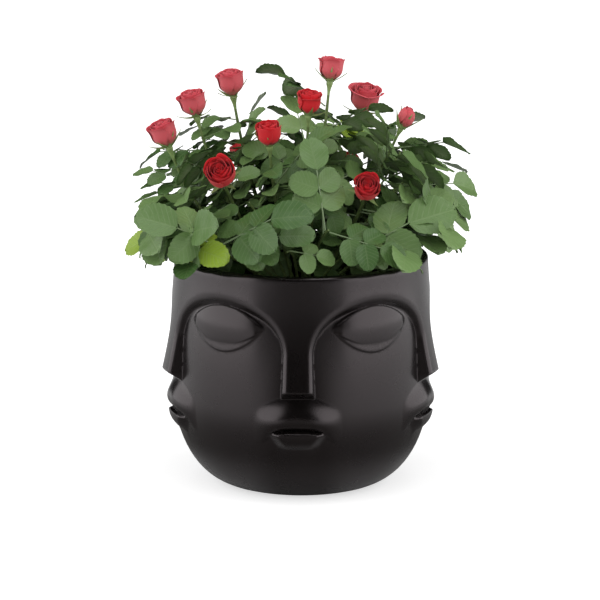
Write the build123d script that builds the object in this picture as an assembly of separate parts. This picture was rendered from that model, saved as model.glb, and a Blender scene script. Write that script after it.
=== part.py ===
from build123d import *
import math
import os
import random

import numpy as np

# Head planter: a matt black ceramic pot with five alike faces round it, and a miniature rose
# in a nursery liner that lifts out. Millimetres, +Z up, origin in the middle of the foot.
# One face looks along -Y.

# Ceramic pot
face_count = 5
pot_height = 170.0
rim_radius = 93.5
rim_wall = 9.0
rim_round = 2.4
belly_swell = 1.5
belly_height = 70.0
foot_radius = 50.0
foot_recess_radius = 40.0
foot_recess = 1.5
socket_depth = 6.0
socket_drop = 20.0
pot_wall = 7.0
pot_floor = 9.0
inner_floor_radius = 36.0

# Nose and brows, one raised band for each face
nose_reach = 11.5
nose_tip_rise = 18.0
nose_root_rise = 8.0
nose_drop = 3.0
nose_width = 24.0
nose_bevel = 3.0
bridge_reach = 5.0
bridge_rise = 7.0
brow_depth = 22.0
arch_rise = 35.0

# Closed eyes, one between each two noses
eye_length = 69.0
lid_inset = 0.5
lid_top_drop = 2.5
eye_corner_drop = 17.0
lid_crown_drop = 20.0
lid_base_drop = 31.5
lid_curl = 15.0
lash_step = 1.1
lash_depth = 3.5

# Lips
mouth_drop = 12.0
mouth_width = 62.0
mouth_gap = 1.0
upper_lip_reach = 6.5
upper_lip_height = 20.0
upper_lip_dip = 4.0
lip_peak_width = 19.0
lower_lip_reach = 5.2
lower_lip_height = 13.5
lower_lip_width = 54.0
chin_line_width = 35.0

root_depth = 11.0
overrun = 10.0

# Drain plug in its hole
drain_hole_radius = 7.5
plug_clearance = 0.3
plug_flange_radius = 12.0
plug_flange = 2.4
plug_depth = 4.5
plug_taper = 0.6
plug_tab_width = 2.4
plug_tab_length = 10.0
plug_tab_height = 1.6

# Nursery liner and the soil in it
liner_base_radius = 64.0
liner_top_radius = 77.0
liner_height = 138.0
liner_wall = 1.2
liner_rim_width = 2.0
liner_rim_depth = 4.0
liner_seat_gap = 0.3
liner_hole_radius = 2.75
liner_hole_count = 12
liner_hole_ring = 48.0
soil_headroom = 13.0
soil_crown = 3.0
soil_gap = 0.3

# Rose bush
bush_half_width = 126.0
bush_half_depth = 112.0
bush_rise = 150.0
cane_radius = 1.25
shoot_radius = 1.05
cane_gap = 0.3
crown_spread = 0.2
hip_radius = 2.7
hip_height = 4.4
sepal_reach = 12.0
sepal_length = 9.5
sepal_width = 3.4
sepal_thickness = 0.6
sepal_count = 5
sepal_droop = 24.0
bloom_radius = 11.5
bloom_height = 21.0
bloom_gap = 0.3
petal_thickness = 0.7
bloom_foot_radius = 2.2
receptacle_depth = 1.6
# Each ring of petals: how many, then its middle and lip radius and its height as shares of the
# bloom's, and the share of its own sector that a petal spans
petal_ring_shares = [(3, 0.46, 0.36, 0.94, 0.94), (4, 0.66, 0.62, 0.96, 0.93), (5, 0.86, 1.0, 0.88, 0.95)]
# The bud's one ring of petals in the same order
bud_ring_shares = (3, 0.52, 0.36, 0.86, 0.9)
# Widest place of each petal as a share of the bloom's height, and each ring's turn past the last
petal_belly_share = 0.45
ring_turn = 25.0
# Foot, belly and tip radius of a bloom's closed heart as shares of the belly, with its belly's share
# of the bloom's radius and its shoulder's and tip's shares of the bloom's height
heart_shares = (0.6, 1.0, 0.5)
heart_radius_share = 0.30
heart_height_shares = (0.9, 0.95)
bud_heart_shares = (0.7, 1.0, 0.3)
bud_heart_radius_share = 0.36

# Leaves
leaflet_length = 22.0
leaflet_width = 15.0
leaflet_share = 0.88
leaflet_angle = 62.0
leaflet_droop = 14.0
end_droop = 22.0
blade_fold = 11.0
leaf_thickness = 0.6
leaf_stalk_radius = 0.65
leaf_stalk_length = 16.0
leaflet_spacing = 12.0
leaf_gap = 0.3
leaf_clearance = 2.2
leaf_space = 7.5
leaf_hang = 9.0
rim_clearance = 3.0
leaf_seed = 11
# Where leaves stand on a flowering cane's upper part, on its lower part and on a shoot: the first
# and last as shares of its length, then the leaves' size as a share of a usual leaf's
upper_leaf_shares = (0.46, 0.90, 0.88)
lower_leaf_shares = (0.24, 0.42, 0.88)
shoot_leaf_shares = (0.36, 0.98, 1.12)
# Ways that the search tries for a leaf: steps round its cane and tilts up or down, in degrees, and
# the tilt that suits a leaf at the rim and at the top of the bush
leaf_turn_step = 18
leaf_tilts = (-50, -30, -10, 10, 30, 50)
rim_leaf_tilt = -30
top_leaf_tilt = 45
tilt_span = 90.0

quarter_turn = 90.0
sector = 360 / face_count
half_sector = sector / 2
belly_radius = rim_radius + belly_swell
socket_radius = belly_radius - socket_depth
socket_height = pot_height - socket_drop
feature_root = belly_radius - root_depth
nose_tip_radius = rim_radius + nose_reach
nose_tip_height = belly_height + nose_tip_rise
nose_root_height = belly_height + nose_root_rise
arch_top = pot_height - brow_depth
arch_spring = arch_top - arch_rise
bridge_radius = rim_radius + bridge_reach
bridge_height = arch_spring + bridge_rise
lid_radius = belly_radius - lid_inset
lid_top_height = arch_top - lid_top_drop
eye_corner_height = arch_top - eye_corner_drop
lid_crown_height = arch_top - lid_crown_drop
lid_base_height = arch_top - lid_base_drop
mouth_height = belly_height - mouth_drop
upper_lip_radius = belly_radius + upper_lip_reach
upper_lip_top = mouth_height + upper_lip_height
lower_lip_radius = belly_radius + lower_lip_reach
lower_lip_base = mouth_height - lower_lip_height
rim_inner_radius = rim_radius - rim_wall
inner_belly_radius = belly_radius - pot_wall
neck_radius = socket_radius - pot_wall


def edges_of(*wires):
    return [edge for wire in wires for edge in wire.edges()]


def upright(edges):
    return make_face([Plane.XZ * edge for edge in edges])


def ring_part(edges, arc=360):
    return revolve(upright(edges), Axis.Z, revolution_arc=arc)


def sector_part(edges):
    """The slice of a turned shape that one face takes up, with its middle on -Y."""
    return Rot(0, 0, -quarter_turn - half_sector) * ring_part(edges, sector)


def front_prism(right_edges):
    """A front outline, given by its right half, extruded forwards from the pot's axis."""
    edges = right_edges + [mirror(edge, about=Plane.YZ) for edge in right_edges]
    return extrude(upright(edges), amount=nose_tip_radius + overrun, dir=(0, -1, 0))


def pot_blank():
    foot = EllipticalCenterArc((foot_radius, belly_height), belly_radius - foot_radius, belly_height,
                               start_angle=-quarter_turn, arc_size=quarter_turn)
    cheek = TangentArc([(belly_radius, belly_height), (socket_radius, socket_height)], tangent=(0, 1))
    rest = Polyline([(socket_radius, socket_height), (socket_radius, pot_height), (0, pot_height),
                     (0, 0), (foot_radius, 0)])
    return ring_part(edges_of(foot, cheek, rest))


def brow_and_nose():
    ridge = ThreePointArc((rim_radius, pot_height), (bridge_radius, bridge_height),
                          (nose_tip_radius, nose_tip_height))
    under = Polyline([(nose_tip_radius, nose_tip_height),
                      (nose_tip_radius - nose_drop, nose_tip_height - nose_drop),
                      (feature_root, nose_root_height), (feature_root, pot_height),
                      (rim_radius, pot_height)])
    band = sector_part(edges_of(ridge, under))
    side = nose_width / 2
    brow = rim_radius * math.sin(math.radians(half_sector))
    arch = EllipticalCenterArc((brow, arch_spring), brow - side, arch_top - arch_spring,
                               start_angle=quarter_turn, arc_size=quarter_turn)
    top = pot_height + overrun
    low = nose_root_height - overrun
    over = Polyline([(0, top), (brow + overrun, top), (brow + overrun, arch_top), (brow, arch_top)])
    down = Polyline([(side, arch_spring), (side, low), (0, low)])
    band = band & front_prism(edges_of(over, arch, down))
    middle_faces = [face for face in band.faces()
                    if abs(face.center().X) < side / 2 and face.center().Z > nose_tip_height]
    front = min(middle_faces, key=lambda face: face.center().Y)
    arris = [edge for edge in front.edges()
             if side - nose_bevel < abs(edge.center().X) < brow - nose_bevel
             and nose_tip_height < edge.center().Z < arch_top]
    return chamfer(arris, nose_bevel)


def almond(half_length, corner, top, base):
    upper = ThreePointArc((-half_length, corner), (0, top), (half_length, corner))
    lower = ThreePointArc((-half_length, corner), (0, base), (half_length, corner))
    return edges_of(upper, lower)


def lid_shell(radius, base):
    """A closed lid: a bulged ring round its own nearer axis, cut to an almond."""
    turn = radius - lid_curl
    back = feature_root - lid_curl
    bulge = ThreePointArc((turn - lash_step * 4, lid_top_height + lash_depth), (turn, lid_crown_height),
                          (turn - lash_step * 2, base - lash_depth))
    rear = Polyline([(turn - lash_step * 2, base - lash_depth), (back, base - lash_depth),
                     (back, lid_top_height + lash_depth), (turn - lash_step * 4, lid_top_height + lash_depth)])
    ring = Pos(0, -lid_curl, 0) * ring_part(edges_of(bulge, rear))
    outline = upright(almond(eye_length / 2, eye_corner_height, lid_top_height, base))
    return ring & extrude(outline, amount=nose_tip_radius, dir=(0, -1, 0))


def closed_eye():
    lid = lid_shell(lid_radius, lid_base_height)
    lash = lid_shell(lid_radius - lash_step, lid_base_height - lash_depth)
    return [Rot(0, 0, half_sector) * lid, Rot(0, 0, half_sector) * lash]


def upper_lip():
    line = mouth_height + mouth_gap / 2
    crest = (line + upper_lip_top) / 2
    profile = Polyline([(feature_root, upper_lip_top + overrun), (belly_radius - mouth_gap, upper_lip_top),
                        (upper_lip_radius, crest), (upper_lip_radius - mouth_gap, line + mouth_gap),
                        (belly_radius, line), (feature_root, line),
                        (feature_root, upper_lip_top + overrun)])
    corner = (mouth_width / 2, mouth_height + nose_drop)
    peak = (lip_peak_width / 2, upper_lip_top)
    dip = Line((0, upper_lip_top - upper_lip_dip), peak)
    bow = ThreePointArc(peak, ((peak[0] + corner[0]) / 2 + nose_drop, crest + nose_drop), corner)
    fall = ThreePointArc(corner, (corner[0] / 2, line + mouth_gap), (0, line))
    return sector_part(edges_of(profile)) & front_prism(edges_of(dip, bow, fall))


def lower_lip():
    line = mouth_height - mouth_gap / 2
    middle = (line + lower_lip_base) / 2
    profile = Polyline([(feature_root, line), (belly_radius, line), (lower_lip_radius, line - nose_drop),
                        (lower_lip_radius - mouth_gap, middle), (belly_radius - nose_drop, lower_lip_base),
                        (feature_root, lower_lip_base), (feature_root, line)])
    outline = Polyline([(0, line + overrun), (lower_lip_width / 2, line + overrun),
                        (lower_lip_width / 2, line), (chin_line_width / 2, lower_lip_base),
                        (chin_line_width / 2, lower_lip_base - overrun), (0, lower_lip_base - overrun)])
    return sector_part(edges_of(profile)) & front_prism(edges_of(outline))


def inner_wall_radius(height):
    """Radius of the bowl inside the pot, at a height below the belly."""
    drop = (belly_height - height) / (belly_height - pot_floor)
    return inner_floor_radius + (inner_belly_radius - inner_floor_radius) * math.sqrt(1 - drop ** 2)


def inner_wall_height(radius):
    """Height at which the bowl inside the pot has this radius."""
    share = (radius - inner_floor_radius) / (inner_belly_radius - inner_floor_radius)
    return belly_height - (belly_height - pot_floor) * math.sqrt(1 - share ** 2)


def pot_cavity():
    bowl = EllipticalCenterArc((inner_floor_radius, belly_height), inner_belly_radius - inner_floor_radius,
                               belly_height - pot_floor, start_angle=-quarter_turn, arc_size=quarter_turn)
    wall = TangentArc([(inner_belly_radius, belly_height), (neck_radius, socket_height)], tangent=(0, 1))
    flare = Polyline([(neck_radius, socket_height), (rim_inner_radius, pot_height),
                      (rim_inner_radius, pot_height + overrun), (0, pot_height + overrun),
                      (0, pot_floor), (inner_floor_radius, pot_floor)])
    return ring_part(edges_of(bowl, wall, flare))


def rim_rounding():
    """The corner outside the rim, cut away to leave a round lip."""
    start = (rim_radius - rim_round, pot_height)
    end = (rim_radius, pot_height - rim_round)
    middle = (rim_radius - rim_round * (1 - math.sqrt(0.5)), pot_height - rim_round * (1 - math.sqrt(0.5)))
    lip = ThreePointArc(start, middle, end)
    out = Polyline([end, (rim_radius + overrun, pot_height - rim_round),
                    (rim_radius + overrun, pot_height + overrun),
                    (rim_radius - rim_round, pot_height + overrun), start])
    return ring_part(edges_of(lip, out))


def ceramic_pot():
    face = [brow_and_nose(), *closed_eye(), upper_lip(), lower_lip()]
    relief = [Rot(0, 0, sector * index) * piece for index in range(face_count) for piece in face]
    pot = pot_blank().fuse(*relief)
    drain = Cylinder(drain_hole_radius, pot_floor + 2 * overrun)
    recess = Pos(0, 0, foot_recess / 2 - overrun / 2) * Cylinder(foot_recess_radius, foot_recess + overrun)
    return pot.cut(pot_cavity(), rim_rounding(), drain, recess)


def drain_plug():
    radius = drain_hole_radius - plug_clearance
    top = pot_floor + plug_flange
    stem = Polyline([(0, top), (plug_flange_radius, top), (plug_flange_radius, pot_floor),
                     (radius, pot_floor), (radius - plug_taper, pot_floor - plug_depth),
                     (0, pot_floor - plug_depth), (0, top)])
    tab = Pos(0, 0, top + plug_tab_height / 2) * Box(plug_tab_length, plug_tab_width, plug_tab_height)
    return ring_part(edges_of(stem)) + tab


liner_foot = inner_wall_height(liner_base_radius + liner_seat_gap)
liner_top = liner_foot + liner_height
soil_top = liner_top - soil_headroom


def liner_radius(height):
    """Outer radius of the liner at a height."""
    share = (height - liner_foot) / liner_height
    return liner_base_radius + (liner_top_radius - liner_base_radius) * share


def grow_pot():
    skin = Polyline([(0, liner_foot), (liner_base_radius, liner_foot),
                     (liner_radius(liner_top - liner_rim_depth), liner_top - liner_rim_depth),
                     (liner_top_radius + liner_rim_width, liner_top - liner_rim_depth),
                     (liner_top_radius + liner_rim_width, liner_top),
                     (liner_top_radius - liner_wall, liner_top),
                     (liner_base_radius - liner_wall, liner_foot + liner_wall),
                     (0, liner_foot + liner_wall), (0, liner_foot)])
    shell = ring_part(edges_of(skin))
    holes = [Rot(0, 0, 360 * index / liner_hole_count) * Pos(liner_hole_ring, 0, liner_foot)
             * Cylinder(liner_hole_radius, liner_wall * 4) for index in range(liner_hole_count)]
    return shell.cut(*holes)


def potting_soil():
    base = liner_foot + liner_wall + soil_gap
    inset = liner_wall + soil_gap
    foot = liner_radius(base) - inset
    brim = liner_radius(soil_top - soil_crown) - inset
    outline = Polyline([(0, soil_top), (0, base), (foot, base), (brim, soil_top - soil_crown),
                        (brim / 2, soil_top - soil_crown / 4), (0, soil_top)])
    return ring_part(edges_of(outline))


# Where each bloom sits, as shares of the bush's half width, half depth and rise above the rim,
# then the way it faces, its size and its kind
bloom_shares = [
    ((0.17, 0.22, 0.896), (0.10, 0.10, 1.0), 0.92, "open"),
    ((-0.415, 0.18, 0.828), (-0.15, -0.10, 1.0), 0.95, "open"),
    ((-0.631, 0.045, 0.739), (-0.25, -0.15, 1.0), 0.96, "open"),
    ((-0.795, -0.09, 0.604), (-0.35, -0.20, 1.0), 0.98, "open"),
    ((-0.179, -0.31, 0.630), (-0.05, -0.35, 1.0), 0.90, "open"),
    ((-0.444, -0.55, 0.466), (-0.10, -0.90, 0.6), 1.08, "open"),
    ((0.048, -0.09, 0.760), (0.05, -0.20, 1.0), 0.90, "open"),
    ((0.367, 0.40, 0.729), (0.15, -0.25, 1.0), 1.08, "open"),
    ((0.383, -0.535, 0.397), (0.10, -0.85, 0.55), 0.96, "open"),
    ((0.607, 0.0, 0.677), (0.45, -0.10, 1.0), 0.80, "bud"),
    ((-0.357, 0.60, 0.413), (-0.30, 0.70, 0.8), 1.0, "open"),
    ((0.250, 0.78, 0.340), (0.15, 0.80, 0.8), 0.96, "open"),
]

# Where the leafy shoots end, in the same shares, and the way their tips point: two to a clump
shoot_shares = [
    [((-0.83, -0.22, 0.20), (-0.80, -0.20, 0.35)), ((-0.70, -0.50, 0.12), (-0.70, -0.60, 0.15))],
    [((-0.47, -0.70, 0.13), (-0.50, -0.80, 0.15)), ((-0.28, -0.58, 0.33), (-0.20, -0.80, 0.50))],
    [((-0.06, -0.78, 0.12), (-0.10, -1.0, 0.10)), ((0.17, -0.74, 0.22), (0.20, -0.90, 0.30))],
    [((0.40, -0.68, 0.12), (0.50, -0.80, 0.15)), ((0.64, -0.46, 0.12), (0.70, -0.60, 0.15))],
    [((0.80, -0.16, 0.18), (0.90, -0.20, 0.25)), ((0.60, -0.14, 0.38), (0.60, -0.10, 0.60))],
    [((0.58, 0.30, 0.47), (0.50, 0.30, 0.80)), ((0.10, -0.45, 0.40), (0.10, -0.60, 0.80))],
    [((0.66, 0.50, 0.15), (0.70, 0.60, 0.25)), ((0.40, 0.72, 0.12), (0.40, 0.90, 0.20))],
    [((-0.66, 0.46, 0.18), (-0.70, 0.60, 0.30)), ((-0.52, 0.36, 0.42), (-0.40, 0.40, 0.80))],
    [((0.08, 0.78, 0.12), (0.0, 1.0, 0.20)), ((-0.30, 0.74, 0.12), (-0.30, 0.90, 0.20))],
]


def bush_point(shares):
    return Vector(shares[0] * bush_half_width, shares[1] * bush_half_depth, pot_height + shares[2] * bush_rise)


def soil_height(out):
    """Height of the soil's top at a distance from the axis, inside half its radius."""
    brim = liner_radius(soil_top - soil_crown) - liner_wall - soil_gap
    return soil_top - soil_crown / 4 * out / (brim / 2)


def cane_path(tip, facing, radius):
    """One arc from just off the soil to the tip, which it meets along the way the tip faces."""
    root = Vector(tip.X * crown_spread, tip.Y * crown_spread, 0)
    root += Vector(0, 0, soil_height(root.length))
    straight = (tip - root).normalized()
    start = straight * (2 * facing.dot(straight)) - facing
    root += Vector(0, 0, cane_gap + radius * math.sqrt(1 - start.Z ** 2))
    chord = tip - root
    straight = chord.normalized()
    bend = facing - straight * facing.dot(straight)
    turn = math.radians(facing.get_angle(straight))
    sag = chord.length / 2 * math.tan(turn / 2)
    return ThreePointArc(root, (root + tip) * 0.5 - bend.normalized() * sag, tip)


def tube(path, radius):
    start = path @ 0
    along = path % 0
    return sweep(Plane(origin=start, z_dir=along) * Circle(radius), path=path)


def aimed(place, along, up=(0, 0, 1)):
    """A place whose Z runs along a direction."""
    side = Vector(*up).cross(along)
    if side.length < 0.01:
        side = Vector(1, 0, 0)
    return Plane(origin=place, x_dir=side.normalized(), z_dir=along).location


def folded_plate(length, width, thickness):
    """A pointed oval blade along +X in two flat halves that rise from its middle rib."""
    edge = ThreePointArc((0, 0), (length * 0.45, width / 2), (length, 0))
    half = extrude(make_face(edges_of(edge, Line((length, 0), (0, 0)))), amount=thickness)
    half = Rot(blade_fold, 0, 0) * half
    return half + mirror(half, about=Plane.XZ)


def hip_and_sepals():
    """The green cup under a bloom, with its top at the origin and its sepals turned out."""
    belly = ThreePointArc((cane_radius, -hip_height), (hip_radius, -hip_height / 2), (bloom_foot_radius, 0))
    rest = Polyline([(bloom_foot_radius, 0), (0, 0), (0, -hip_height), (cane_radius, -hip_height)])
    hip = ring_part(edges_of(belly, rest))
    sepal = Pos(hip_radius / 2, 0, -hip_height * 0.7) * Rot(0, sepal_droop, 0) \
        * folded_plate(sepal_length, sepal_width, sepal_thickness)
    return hip.fuse(*[Rot(0, 0, 360 * index / sepal_count) * sepal for index in range(sepal_count)])


def petal(foot, middle, lip, height, arc):
    """One petal: a slice of a thin turned cup, given by its radii at foot, middle and lip."""
    base = receptacle_depth / 2
    belly = height * petal_belly_share
    wall = ThreePointArc((foot, base), (middle, belly), (lip, height))
    inside = ThreePointArc((foot - petal_thickness, base), (middle - petal_thickness, belly),
                           (lip - petal_thickness, height))
    ends = [Line(wall @ 0, inside @ 0), Line(wall @ 1, inside @ 1)]
    return Rot(0, 0, -arc / 2) * ring_part(edges_of(wall, inside, *ends), arc)


def receptacle(radius):
    """The solid foot that petals stand on."""
    return [(0, 0), (bloom_foot_radius, 0), (radius, receptacle_depth), (0, receptacle_depth)]


def open_bloom():
    """An urn of petals: three rings of them round a closed heart, opening wider outwards."""
    heart = bloom_radius * heart_radius_share
    shoulder, tip = heart_height_shares
    step = petal_thickness * 2
    core = ThreePointArc((heart * heart_shares[0], receptacle_depth), (heart, bloom_height * petal_belly_share),
                         (heart * heart_shares[2], bloom_height * shoulder))
    rest = Polyline([core @ 1, (0, bloom_height * tip), (0, receptacle_depth), core @ 0])
    foot = heart * heart_shares[0] + step
    pieces = [ring_part(edges_of(core, rest))]
    for ring, (count, middle, lip, rise, arc) in enumerate(petal_ring_shares):
        one = petal(foot + step * ring, bloom_radius * middle, bloom_radius * lip, bloom_height * rise,
                    360 / count * arc)
        pieces += [Rot(0, 0, ring_turn * ring + 360 * index / count) * one for index in range(count)]
    base = receptacle(foot + step * (len(petal_ring_shares) - 1) + petal_thickness / 2)
    return ring_part(edges_of(Polyline([*base, base[0]]))).fuse(*pieces)


def rose_bud():
    """A bud that still wraps itself, narrower and pointed."""
    heart = bloom_radius * bud_heart_radius_share
    foot = heart * bud_heart_shares[0] + petal_thickness * 2
    core = ThreePointArc((heart * bud_heart_shares[0], receptacle_depth), (heart, bloom_height * 0.4),
                         (heart * bud_heart_shares[2], bloom_height))
    rest = Polyline([core @ 1, (0, bloom_height), (0, receptacle_depth), core @ 0])
    count, middle, lip, rise, arc = bud_ring_shares
    one = petal(foot, bloom_radius * middle, bloom_radius * lip, bloom_height * rise, 360 / count * arc)
    wrap = [Rot(0, 0, 360 * index / count) * one for index in range(count)]
    base = receptacle(foot + petal_thickness / 2)
    return ring_part(edges_of(Polyline([*base, base[0]]))).fuse(ring_part(edges_of(core, rest)), *wrap)


def compound_leaf(pairs):
    """A leaf stalk along +X with leaflets in pairs and one at its end, all drooping a little."""
    length = leaf_stalk_length + leaflet_spacing * pairs
    pieces = []
    for index in range(pairs):
        blade = folded_plate(leaflet_length * leaflet_share, leaflet_width * leaflet_share, leaf_thickness)
        for side in (-leaflet_angle, leaflet_angle):
            place = Pos(leaf_stalk_length + leaflet_spacing * index, 0, 0)
            pieces.append(place * Rot(0, 0, side) * Rot(0, leaflet_droop, 0) * blade)
    end = folded_plate(leaflet_length, leaflet_width, leaf_thickness)
    pieces.append(Pos(length - leaf_stalk_radius, 0, 0) * Rot(0, end_droop, 0) * end)
    stalk = Pos(length / 2, 0, 0) * Rot(0, 90, 0) * Cylinder(leaf_stalk_radius, length)
    return stalk.fuse(*pieces)


def leaf_samples(pairs):
    """Points over a leaf's outline and stalk, in its own frame, for keeping leaves apart."""
    length = leaf_stalk_length + leaflet_spacing * pairs
    step = leaf_clearance * 0.75
    spots = [(step * index, 0, 0) for index in range(int(length / step) + 1)]
    blades = [(length, 0, 1.0, end_droop)]
    for index in range(pairs):
        for side in (-leaflet_angle, leaflet_angle):
            blades.append((leaf_stalk_length + leaflet_spacing * index, side, leaflet_share, leaflet_droop))
    for start, turn, size, droop in blades:
        long = leaflet_length * size
        cos_turn = math.cos(math.radians(turn))
        sin_turn = math.sin(math.radians(turn))
        for index in range(int(long / step) + 2):
            along = min(step * index, long)
            half = leaflet_width * size / 2 * math.sin(math.pi * min(max(along / long, 0.08), 0.92))
            rows = max(1, math.ceil(half / step))
            for row in range(-rows, rows + 1):
                across = half * row / rows
                rise = abs(across) * math.sin(math.radians(blade_fold)) - along * math.sin(math.radians(droop))
                spots.append((start + along * cos_turn - across * sin_turn,
                              along * sin_turn + across * cos_turn, rise))
    return np.array(spots)


class Space:
    """A grid of the air above the pot that notes what fills each cell."""

    def __init__(self, cell):
        reach = max(bush_half_width, bush_half_depth) + leaflet_length
        self.cell = cell
        self.low = np.array([-reach, -reach, soil_top - leaflet_length])
        high = np.array([reach, reach, pot_height + bush_rise + leaflet_length])
        self.owner = np.zeros(np.ceil((high - self.low) / cell).astype(int) + 3, dtype=int)

    def cells(self, points):
        inside = np.floor((points - self.low) / self.cell).astype(int) + 1
        return np.clip(inside, 1, np.array(self.owner.shape) - 2).T

    def owners(self, points):
        return self.owner[tuple(self.cells(points))]

    def fill(self, points, name):
        x, y, z = self.cells(points)
        around = (-1, 0, 1)
        for i in around:
            for j in around:
                for k in around:
                    self.owner[x + i, y + j, z + k] = name


def path_points(path, step):
    count = max(2, int(path.length / step) + 1)
    return np.array([tuple(path @ (index / count)) for index in range(count + 1)])


def bloom_points(place, along, size):
    """Points over the ball that a bloom takes up, its sepals too."""
    reach = bloom_radius * size
    middle = np.array(tuple(place + along * (bloom_height * size * 0.45)))
    steps = np.arange(-1, 1.01, leaf_clearance / reach)
    ball = np.array([(x, y, z) for x in steps for y in steps for z in steps])
    ball = ball[np.linalg.norm(ball, axis=1) <= 1.05]
    cup = np.array(tuple(place)) + ball * sepal_reach * size
    return np.concatenate([middle + ball * reach, cup])


def inside_bush(points):
    """Whether points are clear of the pot's rim and the water space, and under the bush's dome."""
    x, y, z = points.T
    out = np.hypot(x, y)
    over_pot = (z < pot_height + rim_clearance) & (out < nose_tip_radius + rim_clearance)
    dome = 1 - 0.42 * (x / bush_half_width) ** 2 - 0.30 * (y / bush_half_depth) ** 2
    too_high = z > pot_height + bush_rise * dome
    too_low = z < pot_height - leaf_hang
    too_wide = (abs(x) > bush_half_width) | (abs(y) > bush_half_depth)
    return not (over_pot | too_high | too_low | too_wide).any()


def unit(vector):
    return vector / np.linalg.norm(vector)


def leaf_frame(place, along, turn, lift, radius, stalk):
    """A leaf's foot and axes: X along its stalk, Z from its face, its foot just off the cane."""
    up = np.array([0.0, 0.0, 1.0])
    side = np.cross(up, along)
    side = unit(side) if np.linalg.norm(side) > 0.05 else np.array([1.0, 0.0, 0.0])
    other = np.cross(along, side)
    out = side * math.cos(turn) + other * math.sin(turn)
    aim = unit(out * math.cos(lift) + up * math.sin(lift))
    lean = float(aim @ out)
    if lean < 0.6:
        return None
    foot = place + out * (radius + leaf_gap + stalk * math.sqrt(1 - lean ** 2))
    outward = unit(np.array([place[0], place[1], bush_half_depth * 0.15]))
    face = up * 0.55 + outward * 0.85
    face = face - aim * float(face @ aim)
    if np.linalg.norm(face) < 0.15:
        return None
    face = unit(face)
    return foot, aim, np.cross(face, aim), face


def clear_leaf(place, along, radius, growth, pairs, turned, name):
    """The clear way for one leaf to grow from a place on a cane that suits it best, or None."""
    level = (place[2] - pot_height) / bush_rise
    usual_lift = rim_leaf_tilt + (top_leaf_tilt - rim_leaf_tilt) * level
    level_out = unit(np.array([place[0], place[1], bush_half_depth * 0.2]))
    spots = leaf_samples(pairs) * growth
    tries = []
    for turn in range(0, 360, leaf_turn_step):
        for lift in leaf_tilts:
            frame = leaf_frame(place, along, math.radians(turn + turned), math.radians(lift), radius,
                               leaf_stalk_radius * growth)
            if frame is not None:
                worth = frame[1] @ level_out - abs(lift - usual_lift) / tilt_span + 0.6 * draw.random()
                tries.append((worth, lift, frame))
    tries.sort(key=lambda item: -item[0])
    for worth, lift, frame in tries:
        foot, aim, across, face = frame
        points = foot + spots @ np.array([aim, across, face])
        owners = space.owners(points)
        near = spots[:, 0] < (radius + 2.9 * leaf_clearance) / math.cos(math.radians(lift))
        blocked = (owners > 0) & ~(near & (owners == name))
        if inside_bush(points) and not blocked.any():
            space.fill(points, leaf_name)
            return pairs, growth, frame
    return None


def leaf_places(path, radius, first, last, size, name):
    """Leaves up one cane, each turned the clear way that suits it best."""
    places = []
    count = max(2, round(path.length * (last - first) / leaf_space))
    for index in range(count):
        share = first + (last - first) * index / (count - 1)
        place = np.array(tuple(path @ share))
        along = np.array(tuple(path % share))
        growth = size * (0.82 + 0.36 * draw.random())
        five = draw.random() < 0.75
        turned = draw.uniform(0, 360)
        for pairs, shrink in ((2 if five else 1, 1.0), (1, 0.9), (1, 0.68)):
            leaf = clear_leaf(place, along, radius, growth * shrink, pairs, turned, name)
            if leaf is not None:
                places.append(leaf)
                break
    return places


os.makedirs("parts", exist_ok=True)


def save(name, shape):
    export_step(shape, f"parts/{name}.step", write_pcurves=False)


save("ceramic_pot", ceramic_pot())
save("drain_plug", drain_plug())
save("grow_pot", grow_pot())
save("potting_soil", potting_soil())

hip = hip_and_sepals()
flowers = {"open": open_bloom(), "bud": rose_bud()}
leaves = {pairs: compound_leaf(pairs) for pairs in (1, 2)}
space = Space(leaf_clearance)
draw = random.Random(leaf_seed)
bloom_name = 1000
leaf_name = 2000

canes = []
for place_shares, facing_shares, size_share, kind in bloom_shares:
    facing = Vector(*facing_shares).normalized()
    base = bush_point(place_shares) - facing * (bloom_height * size_share * 0.5)
    path = cane_path(base - facing * hip_height * size_share, facing, cane_radius)
    canes.append((path, base, facing, size_share, kind))
    space.fill(path_points(path, leaf_clearance * 0.8), len(canes))
    space.fill(bloom_points(base, facing, size_share), bloom_name)

clumps = []
shoot_count = 0
for clump_shares in shoot_shares:
    clump = []
    for place_shares, facing_shares in clump_shares:
        path = cane_path(bush_point(place_shares), Vector(*facing_shares).normalized(), shoot_radius)
        shoot_count += 1
        clump.append((path, len(canes) + shoot_count))
        space.fill(path_points(path, leaf_clearance * 0.8), len(canes) + shoot_count)
    clumps.append(clump)


def save_leaves(name, places):
    copies = []
    for pairs, growth, (foot, aim, across, face) in places:
        frame = Plane(origin=tuple(foot), x_dir=tuple(aim), z_dir=tuple(face))
        copies.append((frame.location * scale(leaves[pairs], by=growth)).solid())
    save(name, Compound(children=copies))
    return len(copies)


cane_leaves = []
for number, (path, *_) in enumerate(canes, start=1):
    cane_leaves.append(leaf_places(path, cane_radius, *upper_leaf_shares, number))

total = 0
for number, clump in enumerate(clumps, start=1):
    stems = [tube(path, shoot_radius).solid() for path, _ in clump]
    save(f"leafy_shoots_{number:02d}", Compound(children=stems))
    places = []
    for path, name in clump:
        places += leaf_places(path, shoot_radius, *shoot_leaf_shares, name)
    total += save_leaves(f"shoot_foliage_{number:02d}", places)

for number, (path, base, facing, size_share, kind) in enumerate(canes, start=1):
    cup = aimed(base, facing) * scale(hip, by=size_share)
    save(f"rose_cane_{number:02d}", tube(path, cane_radius).fuse(cup))
    flower = aimed(base + facing * bloom_gap, facing) * scale(flowers[kind], by=size_share)
    save(f"rose_bloom_{number:02d}", flower)
    places = cane_leaves[number - 1] + leaf_places(path, cane_radius, *lower_leaf_shares, number)
    total += save_leaves(f"rose_foliage_{number:02d}", places)

print("leaves", total)
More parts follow.
